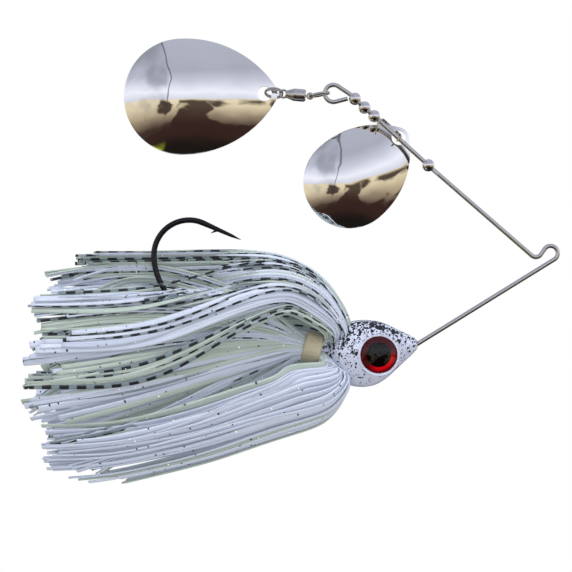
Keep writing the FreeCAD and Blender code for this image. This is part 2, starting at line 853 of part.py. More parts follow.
barrel_shell = turned(
    "barrel_shell",
    swivel,
    [
        ("Sizes.barrel_start", "Sizes.barrel_bore"),
        ("Sizes.barrel_start", "Sizes.barrel_mouth_radius"),
        ("Sizes.barrel_start + Sizes.barrel_chamfer", "Sizes.barrel_radius"),
        ("Sizes.barrel_end - Sizes.barrel_taper", "Sizes.barrel_radius"),
        ("Sizes.barrel_end - Sizes.barrel_lip", "Sizes.barrel_lip_radius"),
        ("Sizes.barrel_end", "Sizes.barrel_tail_radius"),
        ("Sizes.barrel_end", "Sizes.cap_bore"),
        ("Sizes.barrel_bore_end", "Sizes.cap_bore"),
        ("Sizes.barrel_bore_end", "Sizes.barrel_bore"),
    ],
)
pieces.remove(barrel_shell)
piece(cut("barrel_cut", barrel_shell, tail_eye), "swivel_barrel")

# --- split ring: nearly two turns of wire through the tail eye and the large blade ---
ring_reach = size("tail_eye_station") + size("split_ring_inset") + size("split_ring_radius")
ring_frame = swivel.multiply(
    Placement(Vector(ring_reach, 0, 0), Rotation(Vector(1, 0, 0), size("split_ring_tilt")))
)
ring_turn = Rotation(Vector(0, 0, 1), size("split_ring_start"))
ring_start = ring_frame.multiply(
    Placement(Vector(0, 0, -size("split_ring_pitch") * size("split_ring_turns") / 2), ring_turn)
)
ring_helix = primitive(
    "Helix",
    "ring_helix",
    ring_start,
    Pitch="Sizes.split_ring_pitch",
    Height="Sizes.split_ring_pitch * Sizes.split_ring_turns",
    Radius="Sizes.split_ring_radius",
)
helix_climb = Vector(0, 2 * math.pi * size("split_ring_radius"), size("split_ring_pitch"))
ring_section = primitive(
    "Circle",
    "ring_section",
    ring_start.multiply(along(Vector(size("split_ring_radius"), 0, 0), helix_climb)),
    Radius="Sizes.split_ring_wire / 2",
)
doc.recompute()
ring_sweep = doc.addObject("Part::Sweep", "ring_sweep")
ring_sweep.Sections = [ring_section]
ring_sweep.Spine = (ring_helix, [f"Edge{number + 1}" for number in range(len(ring_helix.Shape.Edges))])
ring_sweep.Solid = True
ring_sweep.Frenet = True
piece(ring_sweep, "split_ring")

# --- large blade on the split ring ---
ring_centre = ring_frame.Base
ring_angle = math.asin(
    size("large_blade_depth") / size("split_ring_radius") / math.cos(math.radians(size("split_ring_tilt")))
)
ring_crossing = ring_frame.multVec(
    Vector(math.cos(ring_angle), math.sin(ring_angle), 0) * size("split_ring_radius")
)
large_hole = ring_crossing + Vector(-size("large_hole_back"), 0, size("large_hole_lift"))
domed_blade("large_blade", 1.0, size("large_blade_thickness"), large_hole, size("large_blade_heading"))

# --- checks, then one file for each piece ---
doc.recompute()
failed = [item.Label for item in doc.Objects if "Invalid" in item.State or "Error" in item.State]
if failed:
    raise SystemExit(f"failed objects: {failed}")
for item in pieces:
    if item.Shape.isNull() or not item.Shape.isValid() or not item.Shape.Solids:
        raise SystemExit(f"bad shape: {item.Label}")
os.makedirs("parts", exist_ok=True)
for item in pieces:
    item.Shape.exportStep(f"parts/{item.Label}.step")
    print(f"{item.Label}: {len(item.Shape.Solids)} solid, {item.Shape.Volume:.2f} mm3")
places = {
    "arm_point": arm_point,
    "loop_centre": loop_centre,
    "hanger_axis": hanger_axis,
    "shaft_centre": shaft_centre,
    "ring_centre": ring_centre,
    "ring_crossing": ring_crossing,
    "large_hole": large_hole,
    "small_hole": small_hole,
    "spear_start": spear_start,
    "arm_end": arm_stations[5][0],
}
for name, point in places.items():
    print(f"{name}: {point.x:.3f} {point.y:.3f} {point.z:.3f}")
print(f"arm heading: {arm_heading:.3f}")
for label, station in bead_stations.items():
    spot = on_arm(station).Base
    print(f"{label}: {spot.x:.3f} {spot.z:.3f}")
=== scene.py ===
import math
import random

import bpy
import numpy as np
from mathutils import Matrix, Vector


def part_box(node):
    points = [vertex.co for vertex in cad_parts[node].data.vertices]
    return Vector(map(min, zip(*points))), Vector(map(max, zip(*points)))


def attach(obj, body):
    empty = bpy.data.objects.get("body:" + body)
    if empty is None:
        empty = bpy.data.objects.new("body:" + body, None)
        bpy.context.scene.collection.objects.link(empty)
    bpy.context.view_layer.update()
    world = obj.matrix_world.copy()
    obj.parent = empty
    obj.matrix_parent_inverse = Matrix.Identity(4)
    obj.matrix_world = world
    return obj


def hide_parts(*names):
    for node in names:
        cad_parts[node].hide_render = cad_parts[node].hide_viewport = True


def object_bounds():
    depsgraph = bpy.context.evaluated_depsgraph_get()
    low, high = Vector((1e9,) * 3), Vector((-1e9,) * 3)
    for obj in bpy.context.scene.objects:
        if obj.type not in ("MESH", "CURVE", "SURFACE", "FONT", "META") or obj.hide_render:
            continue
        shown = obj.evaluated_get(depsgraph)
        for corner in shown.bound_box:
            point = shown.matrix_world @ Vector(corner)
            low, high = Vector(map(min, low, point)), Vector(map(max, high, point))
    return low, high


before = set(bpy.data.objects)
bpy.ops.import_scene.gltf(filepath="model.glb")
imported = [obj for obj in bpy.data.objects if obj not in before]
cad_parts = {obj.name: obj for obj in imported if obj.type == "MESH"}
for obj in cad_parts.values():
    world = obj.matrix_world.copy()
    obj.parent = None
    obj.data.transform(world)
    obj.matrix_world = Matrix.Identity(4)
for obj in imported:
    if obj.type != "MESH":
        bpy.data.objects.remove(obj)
packed_box = [list(corner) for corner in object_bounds()]

# Studio: the lure hangs in front of a white sweep, lit by a large overhead softbox and a smaller
# one at the tail and the front, in a tent that is pale above, warm at the horizon and dark below.
MM = 0.001
low, high = (Vector(corner) for corner in packed_box)
middle = (low + high) / 2


class Level:
    """One output of a node, with arithmetic that adds Math nodes."""

    def __init__(self, finish, socket):
        self.finish = finish
        self.socket = socket

    def maths(self, operation, first, second=0.0, third=0.0):
        settings = {"operation": operation}
        return self.finish.node("ShaderNodeMath", settings, {0: first, 1: second, 2: third})

    def __add__(self, other):
        return self.maths("ADD", self, other)

    def __radd__(self, other):
        return self.maths("ADD", other, self)

    def __sub__(self, other):
        return self.maths("SUBTRACT", self, other)

    def __rsub__(self, other):
        return self.maths("SUBTRACT", other, self)

    def __mul__(self, other):
        return self.maths("MULTIPLY", self, other)

    def __rmul__(self, other):
        return self.maths("MULTIPLY", other, self)

    def __truediv__(self, other):
        return self.maths("DIVIDE", self, other)

    def above(self, edge, softness):
        """0 below the edge and 1 above it, with a soft step."""
        settings = {"interpolation_type": "SMOOTHSTEP"}
        sockets = {"Value": self, "From Min": edge - softness, "From Max": edge + softness}
        return self.finish.node("ShaderNodeMapRange", settings, sockets)

    def below(self, edge, softness):
        return 1 - self.above(edge, softness)

    def size(self):
        return self.maths("ABSOLUTE", self)

    def wrapped(self):
        return self.maths("FRACT", self)


class Finish:
    """The node tree of one material or of the world."""

    def __init__(self, name=None, tree=None):
        if tree is None:
            self.material = bpy.data.materials.new(name)
            self.material.use_nodes = True
            tree = self.material.node_tree
        self.tree = tree
        tree.nodes.clear()

    def node(self, kind, settings=None, sockets=None, output=0):
        made = self.tree.nodes.new(kind)
        for key, value in (settings or {}).items():
            if key == "stops":
                self.set_stops(made.color_ramp, value)
            else:
                setattr(made, key, value)
        for key, value in (sockets or {}).items():
            if isinstance(value, Level):
                self.tree.links.new(value.socket, made.inputs[key])
            else:
                made.inputs[key].default_value = value
        return Level(self, made.outputs[output]) if made.outputs else None

    def set_stops(self, ramp, stops):
        while len(ramp.elements) < len(stops):
            ramp.elements.new(0.5)
        for element, (place, colour) in zip(ramp.elements, stops):
            element.position = place
            element.color = (*colour, 1)

    def mix(self, factor, first, second):
        """A colour between two others; a plain one is given as its red, green and blue."""
        ends = [colour if isinstance(colour, Level) else (*colour, 1) for colour in (first, second)]
        sockets = {"Factor": factor, 6: ends[0], 7: ends[1]}
        return self.node("ShaderNodeMix", {"data_type": "RGBA"}, sockets, 2)

    def vector(self, operation, first, second=(0, 0, 0), output=0):
        return self.node("ShaderNodeVectorMath", {"operation": operation}, {0: first, 1: second}, output)

    def part(self, vector, axis):
        """One of the three numbers of a vector."""
        return self.node("ShaderNodeSeparateXYZ", None, {"Vector": vector}, axis)

    def place(self, stretch=(1, 1, 1)):
        """Object coordinates in millimetres, stretched."""
        where = self.node("ShaderNodeTexCoord", output=3)
        return self.vector("MULTIPLY", where, tuple(factor / MM for factor in stretch))

    def noise(self, where, scale, detail=3.0):
        sockets = {"Vector": where, "Scale": scale, "Detail": detail}
        return self.node("ShaderNodeTexNoise", None, sockets)

    def cells(self, where, scale, flat=False):
        """Cells round scattered points: the distance to the point and the cell's own random colour."""
        settings = {"voronoi_dimensions": "2D" if flat else "3D"}
        sockets = {"Vector": where, "Scale": scale}
        return [self.node("ShaderNodeTexVoronoi", settings, sockets, output) for output in (0, 1)]

    def channel(self, colour, number):
        return self.node("ShaderNodeSeparateColor", None, {"Color": colour}, number)

    def bump(self, height, distance, strength=1.0):
        sockets = {"Height": height, "Distance": distance * MM, "Strength": strength}
        return self.node("ShaderNodeBump", None, sockets)

    def surface(self, **sockets):
        """The Principled surface, with underscores for the spaces in its socket names."""
        named = {key.replace("_", " "): value for key, value in sockets.items()}
        shader = self.node("ShaderNodeBsdfPrincipled", None, named)
        self.node("ShaderNodeOutputMaterial", None, {"Surface": shader})
        return self.material


world = bpy.data.worlds.new("studio_tent")
world.use_nodes = True
bpy.context.scene.world = world
tent = Finish(tree=world.node_tree)
direction = tent.node("ShaderNodeTexCoord", output=0)
sideways = tent.part(direction, 0)
climb = tent.part(direction, 2)
TENT_STOPS = [  # the cloth's colour, from straight down to straight up
    (0.00, (0.012, 0.010, 0.010)),
    (0.13, (0.015, 0.012, 0.010)),
    (0.24, (0.07, 0.045, 0.035)),
    (0.32, (0.38, 0.30, 0.21)),
    (0.42, (0.90, 0.78, 0.54)),
    (0.495, (1.00, 0.88, 0.64)),
    (0.505, (0.84, 0.87, 1.02)),
    (0.58, (1.08, 1.12, 1.28)),
    (0.70, (0.74, 0.77, 0.93)),
    (0.82, (0.50, 0.52, 0.64)),
    (1.00, (0.56, 0.59, 0.72)),
]
SHADOWED_CLOTH = (0.22, 0.24, 0.30)
STAND_BROWN = (0.045, 0.022, 0.018)
SEAM_GREY = (0.05, 0.06, 0.08)
LIME_CARD = (0.55, 0.60, 0.05)
billow = tent.noise(direction, 1.6)
sky = tent.node("ShaderNodeValToRGB", {"stops": TENT_STOPS}, {"Fac": climb * 0.5 + 0.5})
# A seam runs up the tail side of the cloth, a drape hangs behind it, a wooden stand and its clutter
# break the horizon, and a lime card lies below the tail.
seam = (sideways + 0.34 + (climb - 0.5).size() * 0.2 - 0.06).size()
stitched = seam.below(0.012, 0.012) * climb.above(-0.35, 0.1)
drape = sideways.below(-0.36, 0.03) * climb.above(-0.2, 0.1)
stand = (billow - 0.44 + (0.14 - (sideways - 0.12).size() * 0.28)).above(0.02, 0.03)
stand = stand * climb.below(-0.03, 0.04) * climb.above(-0.75, 0.1)
card = sideways.below(-0.42, 0.06) * climb.below(-0.78, 0.05)
sky = tent.mix(drape * billow.above(0.5, 0.12) * 0.55, sky, SHADOWED_CLOTH)
sky = tent.mix(stand * 0.93, sky, STAND_BROWN)
sky = tent.mix(stitched * 0.8, sky, SEAM_GREY)
sky = tent.mix(card, sky, LIME_CARD)
glow = tent.node("ShaderNodeBackground", None, {"Color": sky, "Strength": 1.0})
tent.node("ShaderNodeOutputWorld", None, {"Surface": glow})


def softbox(name, offset, width, height, power, colour):
    """A lamp aimed at the middle of the lure; it lights the lure but isn't mirrored in it."""
    lamp = bpy.data.lights.new(name, "AREA")
    lamp.shape = "RECTANGLE"
    lamp.size = width
    lamp.size_y = height
    lamp.energy = power
    lamp.color = colour
    holder = bpy.data.objects.new(name, lamp)
    place = middle + Vector(offset)
    holder.location = place
    holder.rotation_euler = (middle - place).to_track_quat("-Z", "Y").to_euler()
    holder.visible_glossy = False
    bpy.context.scene.collection.objects.link(holder)


softbox("overhead_softbox", (0.02, -0.15, 0.42), 0.5, 0.35, 2.6, (0.95, 0.97, 1.0))
softbox("tail_softbox", (-0.40, -0.30, 0.16), 0.16, 0.4, 0.7, (1.0, 1.0, 1.0))
softbox("front_softbox", (0.25, -0.45, 0.05), 0.3, 0.3, 0.45, (1.0, 0.98, 0.95))

sweep_finish = Finish("white_sweep")
sweep_light = sweep_finish.node("ShaderNodeEmission", None, {"Strength": 1.0})
sweep_finish.node("ShaderNodeOutputMaterial", None, {"Surface": sweep_light})


def sweep_piece(name, points, faces):
    mesh = bpy.data.meshes.new(name)
    mesh.from_pydata(points, [], faces)
    mesh.materials.append(sweep_finish.material)
    item = bpy.data.objects.new(name, mesh)
    bpy.context.scene.collection.objects.link(item)
    item.visible_glossy = False
    item.visible_shadow = False
    return item


REACH = 3.0
FLOOR_DROP = 0.06
floor_height = low.z - FLOOR_DROP
corners = [(-REACH, -REACH), (REACH, -REACH), (REACH, REACH), (-REACH, REACH)]
sweep_piece("floor", [(x, y, floor_height) for x, y in corners], [(0, 1, 2, 3)])
backdrop_points = [(x, y, z) for z in (floor_height, REACH) for x, y in corners]
backdrop_faces = [(0, 1, 5, 4), (1, 2, 6, 5), (2, 3, 7, 6), (3, 0, 4, 7), (4, 5, 6, 7)]
backdrop = sweep_piece("backdrop", backdrop_points, backdrop_faces)
backdrop.visible_diffuse = False
backdrop.visible_transmission = False
bpy.context.scene.view_settings.view_transform = "Standard"

FRAME_WIDTH = 130 * MM
FRAME_SHIFT = Vector((-2.2, 0, -5.6)) * MM
lens_data = bpy.data.cameras.new("camera")
lens_data.lens = 100
lens_data.sensor_width = 36
distance = FRAME_WIDTH * lens_data.lens / lens_data.sensor_width
camera = bpy.data.objects.new("camera", lens_data)
camera.location = middle + FRAME_SHIFT - Vector((0, distance, 0))
camera.rotation_euler = (math.pi / 2, 0, 0)
bpy.context.scene.collection.objects.link(camera)
bpy.context.scene.camera = camera


def paint(node, material):
    """Gives a CAD node its finish."""
    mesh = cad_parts[node].data
    mesh.materials.clear()
    mesh.materials.append(material)


# Wire arm: 1.0 mm spring stainless wire, bent to an open line tie at the nose and closed to a
# loop at the tail of the upper arm. Its lower arm is cast into the head.
wire = Finish("drawn_stainless")
wire_grain = wire.noise(wire.place(), 6.0)
wire_finish = wire.surface(
    Base_Color=wire.mix(wire_grain, (0.46, 0.45, 0.45), (0.74, 0.73, 0.72)),
    Metallic=1.0,
    Roughness=0.24 + wire_grain * 0.14,
    Normal=wire.bump(wire.noise(wire.place(), 18.0), 0.02),
)
paint("wire_frame", wire_finish)

# Hook: high-carbon wire with a black nickel plate, needle point and a cut barb. Its eye and the
# front of its shank are cast into the head.
plate = Finish("black_nickel")
plate_wear = plate.noise(plate.place(), 2.5)
hook_finish = plate.surface(
    Base_Color=plate.mix(plate_wear, (0.010, 0.010, 0.012), (0.05, 0.05, 0.055)),
    Metallic=1.0,
    Roughness=0.16 + plate_wear * 0.16,
    Normal=plate.bump(plate.noise(plate.place(), 9.0), 0.02),
)
paint("hook", hook_finish)

# Head: lead cast in a drop shape with a raised seat for each eye, sprayed pearl white, spattered
# with black that is heaviest on the back and nose, and sealed under a clear coat.
coat = Finish("spattered_pearl")
spot = coat.place()
head_low, head_high = (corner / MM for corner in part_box("head"))
up_the_head = (coat.part(spot, 2) - head_low.z) / (head_high.z - head_low.z)
ragged = coat.vector("ADD", spot, coat.noise(spot, 1.1, 2.0))
eye_centre = tuple(sum(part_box("eye_foil_right"), Vector()) / 2 / MM)
SEAT_RADIUS = 4.7
EVEN_SPATTER = 0.42  # how far up the head the spots have their plain size; they grow above it


def spatter(scale, spread, amount):
    """Round spots of mixed sizes: a spot's size comes from its own cell's random colour."""
    near, shade = coat.cells(ragged, scale)
    size = (coat.channel(shade, 0) - (1 - amount)) * spread + (up_the_head - EVEN_SPATTER) * spread * 0.6
    return (size - near).above(0.0, 0.02)


def from_eye(finish, where):
    """The way from the middle of the eye as seen from the side, in mm."""
    return finish.vector("MULTIPLY", finish.vector("SUBTRACT", where, eye_centre), (1, 0, 1))


blots = spatter(1.05, 0.82, 0.56)
specks = spatter(2.1, 0.80, 0.66)
dust = spatter(4.4, 0.62, 0.52)
seat = coat.vector("LENGTH", from_eye(coat, spot), output=1).below(SEAT_RADIUS, 0.1)
black = (1 - (1 - blots) * (1 - specks) * (1 - dust)) * (1 - seat * 0.85)
pearl_tone = coat.mix(coat.noise(spot, 0.35), (0.36, 0.385, 0.48), (0.52, 0.545, 0.65))
head_finish = coat.surface(
    Base_Color=coat.mix(black, pearl_tone, (0.003, 0.003, 0.004)),
    Roughness=0.34 + black * 0.2,
    Coat_Weight=0.8 - black * 0.65,
    Coat_Roughness=0.06,
    Normal=coat.bump(coat.noise(spot, 1.2) + black * 0.35, 0.05),
)
paint("head", head_finish)

# Eyes: a red foil disc with a black pupil printed on it, under a clear domed lens, pressed into
# the seat on each side of the head.
foil = Finish("red_foil")
foil_where = foil.place()
foil_low, foil_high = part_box("eye_foil_right")
foil_radius = (foil_high.x - foil_low.x) / 2 / MM
from_centre = from_eye(foil, foil_where)
from_middle = foil.vector("LENGTH", from_centre, output=1) / foil_radius
lower_front = (foil.part(from_centre, 0) * 0.5 - foil.part(from_centre, 2) * 0.86) / foil_radius
# Painted light: the lower front crescent of the foil is painted bright red and the rest of it dark red, as
# if lit and shaded by light through the dome.
painted_light_crescent = lower_front.above(0.35, 0.30) * from_middle.below(0.86, 0.14)
rim = from_middle.above(0.95, 0.03)
sheen = foil.noise(foil_where, 3.0)
red = foil.mix(painted_light_crescent, (0.22, 0.008, 0.012), (0.75, 0.014, 0.022))
foil_finish = foil.surface(
    Base_Color=foil.mix(rim, red, (0.55, 0.42, 0.46)),
    Metallic=0.5,
    Roughness=0.30 + sheen * 0.2,
    # Painted light: the foil glows faintly all over and most in the crescent, though it is no lamp.
    Emission_Color=foil.mix(painted_light_crescent, (0.035, 0.0, 0.002), (0.24, 0.002, 0.006)),
    Emission_Strength=1.0,
)
pupil = Finish("black_pupil")
pupil_grain = pupil.noise(pupil.place(), 4.0)
pupil_finish = pupil.surface(
    Base_Color=pupil.mix(pupil_grain, (0.002, 0.002, 0.002), (0.006, 0.006, 0.007)),
    Roughness=0.25,
    Coat_Weight=1.0,
)
dome = Finish("clear_dome")
dome_haze = dome.noise(dome.place(), 1.0)
dome_finish = dome.surface(
    Base_Color=dome.mix(dome_haze, (0.97, 0.97, 0.97), (1.0, 1.0, 1.0)),
    Roughness=0.01,
    Transmission_Weight=1.0,
    IOR=1.42,
)
for side in ("left", "right"):
    paint(f"eye_foil_{side}", foil_finish)
    paint(f"eye_pupil_{side}", pupil_finish)
    paint(f"eye_lens_{side}", dome_finish)

# Collar: a short tan rubber tube, stretched over the middle of the strands to grip them on the
# ridged keeper behind the head.
band = Finish("tan_rubber")
band_grain = band.noise(band.place(), 1.8)
collar_finish = band.surface(
    Base_Color=band.mix(band_grain, (0.35, 0.31, 0.20), (0.48, 0.44, 0.31)),
    Roughness=0.32 + band_grain * 0.15,
    Subsurface_Weight=0.5,
    Subsurface_Radius=(1.2, 0.7, 0.4),
    Subsurface_Scale=MM,
    Normal=band.bump(band_grain, 0.1),
)
paint("skirt_collar", collar_finish)

# Beads: hollow nickel-plated brass balls that space the clevis on the wire and let it spin.
nickel = Finish("bead_nickel")
bead_haze = nickel.noise(nickel.place(), 3.0)
bead_finish = nickel.surface(
    Base_Color=nickel.mix(bead_haze, (0.62, 0.61, 0.60), (0.80, 0.79, 0.77)),
    Metallic=1.0,
    Roughness=0.07 + bead_haze * 0.08,
)
for bead in ("loop_bead", "middle_bead", "clevis_bead", "stop_bead"):
    paint(bead, bead_finish)

# Clevis, rings and swivel: plated strip and wire, polished but worn dull where they rub.
fitting = Finish("rubbed_nickel")
rub = fitting.noise(fitting.place(), 4.0)
fitting_finish = fitting.surface(
    Base_Color=fitting.mix(rub, (0.42, 0.41, 0.39), (0.74, 0.72, 0.69)),
    Metallic=1.0,
    Roughness=0.14 + rub * 0.2,
    Normal=fitting.bump(rub, 0.03),
)
FITTINGS = (
    "clevis",
    "hanger_ring",
    "swivel_shaft",
    "swivel_balls",
    "swivel_cap",
    "swivel_barrel",
    "swivel_tail_eye",
    "split_ring",
)
for part in FITTINGS:
    paint(part, fitting_finish)

# Blades: stamped brass with a mirror nickel plate, a rounded drop in outline, domed so that every
# cross section is one arc. Each hangs from a hole punched near its narrow end.
BLADE_LENGTH = 35.0  # the larger blade, in mm; stations run from its narrow end
BLADE_HALF = 13.2  # half its greatest width
BLADE_WIDEST = 21.3  # the station where the side becomes straight
SIDE_RADIUS = 24.6  # of the outline's side
BOW_RADIUS = 19.0  # of a cross section
HOLE_STATION = 2.95
HOLE_WIDTH = 3.3
RIM_ROUNDING = 0.12
SPOKES, RINGS = 220, 46
side_offset = SIDE_RADIUS - BLADE_HALF
tip_radius = (SIDE_RADIUS**2 - BLADE_WIDEST**2 - side_offset**2) / (2 * (SIDE_RADIUS - BLADE_WIDEST))
tip_tangent = tip_radius * (1 - math.cos(math.atan2(side_offset, BLADE_WIDEST - tip_radius)))


def half_width(station):
    """Half the width of the outline at a distance from its tip."""
    end_centre = BLADE_LENGTH - BLADE_HALF
    if station <= tip_tangent:
        return math.sqrt(max(0.0, tip_radius**2 - (tip_radius - station) ** 2))
    if station <= BLADE_WIDEST:
        return math.sqrt(SIDE_RADIUS**2 - (BLADE_WIDEST - station) ** 2) - side_offset
    if station <= end_centre:
        return BLADE_HALF
    return math.sqrt(max(0.0, BLADE_HALF**2 - (station - end_centre) ** 2))


def rim_reach(angle):
    """How far the outline lies from the middle of the hole in one direction."""
    near, far = 0.0, BLADE_LENGTH
    for _ in range(40):
        reach = (near + far) / 2
        station = HOLE_STATION + reach * math.cos(angle)
        inside = 0 <= station <= BLADE_LENGTH and abs(reach * math.sin(angle)) < half_width(station)
        near, far = (reach, far) if inside else (near, reach)
    return near


def dome_height(station, across):
    """How far the dome bulges, measured from the flat rim."""
    return (half_width(station) ** 2 - across**2) / (2 * BOW_RADIUS)


def blade(node, scale, thickness, heading):
    """A domed sheet, bulging to -Y, built in rings from the hole to the rim."""
    points = []
    faces = []
    for face_side in (-1, 1):
        for ring in range(RINGS + 1):
            share = ring / RINGS
            for spoke in range(SPOKES):
                angle = 2 * math.pi * spoke / SPOKES
                reach = HOLE_WIDTH / 2 / scale * (1 - share) + rim_reach(angle) * share
                station = HOLE_STATION + reach * math.cos(angle)
                across = reach * math.sin(angle)
                depth = face_side * thickness / 2 - dome_height(station, across) * scale
                points.append((reach * math.cos(angle) * scale, depth, across * scale))
    layer = (RINGS + 1) * SPOKES
    edge = RINGS * SPOKES
    for spoke in range(SPOKES):
        after = (spoke + 1) % SPOKES
        for near in range(0, edge, SPOKES):
            quad = (near + spoke, near + after, near + SPOKES + after, near + SPOKES + spoke)
            faces.append(quad)
            faces.append(tuple(layer + quad[corner] for corner in (0, 3, 2, 1)))
        faces.append((spoke, layer + spoke, layer + after, after))
        faces.append((edge + spoke, edge + after, layer + edge + after, layer + edge + spoke))
    turn = Matrix.Rotation(-math.radians(heading), 3, "Y")
    turned = np.array([turn @ Vector(point) for point in points]) * MM
    cad_low, cad_high = (np.array(corner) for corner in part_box(node))
    turned += (cad_low + cad_high) / 2 - (turned.min(0) + turned.max(0)) / 2
    mesh = bpy.data.meshes.new(f"{node}_plate")
    mesh.from_pydata(turned.tolist(), [], faces)
    mesh.shade_smooth()
    item = bpy.data.objects.new(f"{node}_plate", mesh)
    bpy.context.scene.collection.objects.link(item)
    rounding = item.modifiers.new("rounded_edge", "BEVEL")
    rounding.width = RIM_ROUNDING * MM
    rounding.segments = 3
    rounding.limit_method = "ANGLE"
    rounding.angle_limit = math.radians(45)
    return item


mirror = Finish("mirror_nickel")
blade_where = mirror.place()
ripple = mirror.noise(blade_where, 0.10, 2.0)
scuffs = mirror.noise(mirror.place((3.0, 1.0, 0.4)), 1.2, 5.0)
mirror_finish = mirror.surface(
    Base_Color=mirror.mix(ripple, (0.74, 0.73, 0.71), (0.84, 0.83, 0.81)),
    Metallic=1.0,
    Roughness=0.035 + scuffs.above(0.62, 0.08) * 0.05,
    Normal=mirror.bump(ripple, 0.6, 0.35),
)
BLADES = {  # size against the larger blade, thickness in mm and heading in degrees
    "large_blade": (1.0, 0.65, 181.9),
    "small_blade": (0.8, 0.55, 222.0),
}
for node, (scale, thickness, heading) in BLADES.items():
    plate_piece = blade(node, scale, thickness, heading)
    plate_piece.data.materials.append(mirror_finish)
    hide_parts(node)
    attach(plate_piece, node)

# Skirt: flat silicone strands, gripped at their middle by the collar. Their front halves fold back
# over the outside and their rear halves fan straight out, so the tail is thick and ragged.
SKIRT_STATIONS = (  # distance along the lure, top, bottom and half width, in mm
    (-46.5, -13.5, -33.5, 9.4),
    (-47.8, -9.0, -36.9, 11.0),
    (-51.9, -5.4, -39.3, 12.6),
    (-56.5, -1.9, -40.7, 13.7),
    (-61.0, -0.2, -42.0, 14.2),
    (-66.0, 0.6, -43.6, 14.5),
    (-74.7, 0.9, -47.0, 14.7),
    (-83.8, 0.7, -49.2, 14.6),
    (-92.8, 0.6, -51.4, 14.0),
    (-102.0, 0.6, -53.4, 13.0),
    (-120.0, 0.2, -53.6, 11.5),
)
STRAND_ENDS = (  # height at the tail, and how far back the strands there reach, in mm
    (-53.5, -103.0),
    (-50.0, -109.0),
    (-46.0, -115.0),
    (-41.0, -113.0),
    (-36.0, -118.0),
    (-30.0, -116.5),
    (-23.0, -116.5),
    (-17.0, -114.0),
    (-11.5, -115.5),
    (-7.0, -112.0),
    (-4.0, -114.0),
    (-2.0, -106.0),
    (1.0, -108.0),
)
FOLD_FRONT = -45.4  # how far forward the outermost folds reach
FOLD_STATIONS = (-61, -68, -77, -88, -99)  # where a folded strand is led back along the outside
FAN_STATIONS = ((-63, 0.40), (-73, 0.66), (-85, 0.86), (-97, 0.97))  # and a fanned one, with its spread
TAIL_STATION = -110
SHANK_ANGLE = math.radians(163.2)
SKIRT_AXIS_HEIGHT = -24.0
PARTING = (math.radians(98), math.radians(120))  # the angles on the -Y side that the folds leave open
MOUTH = (math.radians(56), math.radians(112))  # the same gap at the collar, where the folds are parted
TIGHTENED = math.radians(30)  # how far from the gap the folds are still pulled tight
SAMPLES = 60  # points along one strand
collar_middle = np.array(sum(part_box("skirt_collar"), Vector()) / 2) / MM
shank_line = np.array([math.cos(SHANK_ANGLE), 0.0, math.sin(SHANK_ANGLE)])
station_x, station_top, station_bottom, station_half = np.array(sorted(SKIRT_STATIONS)).T
end_height, end_reach = np.array(STRAND_ENDS).T
dice = random.Random(11)


def around(angle):
    """The direction across the lure at an angle from straight up, positive towards -Y."""
    return np.array([0.0, -math.sin(angle), math.cos(angle)])


def on_collar(back, angle, out):
    """A point by the collar: back along its axis and out from it."""
    return collar_middle + shank_line * back + around(angle) * out


def in_skirt(x, angle, depth):
    """A point of the skirt: depth is 0 at its middle and 1 at its outside."""
    top = np.interp(x, station_x, station_top)
    bottom = np.interp(x, station_x, station_bottom)
    half = np.interp(x, station_x, station_half)
    height = (top + bottom) / 2 + depth * math.cos(angle) * (top - bottom) / 2
    return np.array([x, -depth * math.sin(angle) * half, height])


def between(x, angle, depth):
    """A point between the collar's axis, at depth 0, and the outside of the skirt."""
    core = collar_middle + shank_line * (x - collar_middle[0]) / shank_line[0]
    return core + (in_skirt(x, angle, 1.0) - core) * depth


def ease(values):
    """A soft step from 0 to 1."""
    values = np.clip(values, 0, 1)
    return values * values * (3 - 2 * values)


def smooth_line(points):
    """Evenly spaced points of one smooth curve led by the points."""
    guide = np.array([points[0]] * 2 + list(points) + [points[-1]] * 2)
    line = []
    for start in range(len(guide) - 3):
        for share in np.arange(0, 1, 0.06):
            weights = np.array(
                [
                    (1 - share) ** 3,
                    3 * share**3 - 6 * share**2 + 4,
                    -3 * share**3 + 3 * share**2 + 3 * share + 1,
                    share**3,
                ]
            )
            line.append(weights @ guide[start : start + 4] / 6)
    line = np.array(line + [guide[-1]])
    steps = np.linalg.norm(np.diff(line, axis=0), axis=1)
    travelled = np.concatenate([[0.0], np.cumsum(steps)])
    even = np.linspace(0, travelled[-1], SAMPLES)
    return np.stack([np.interp(even, travelled, line[:, axis]) for axis in range(3)], axis=1), even


def beside_hook(points):
    """Parts the strands round the hook, which stands up out of the skirt."""
    x, y, z = points.T
    pushed = ease((-64 - x) / 14) * ease((z + 10.5) / 3.5)
    points[:, 1] = y * (1 - pushed) + (1.3 + 0.45 * np.abs(y)) * pushed
    return points


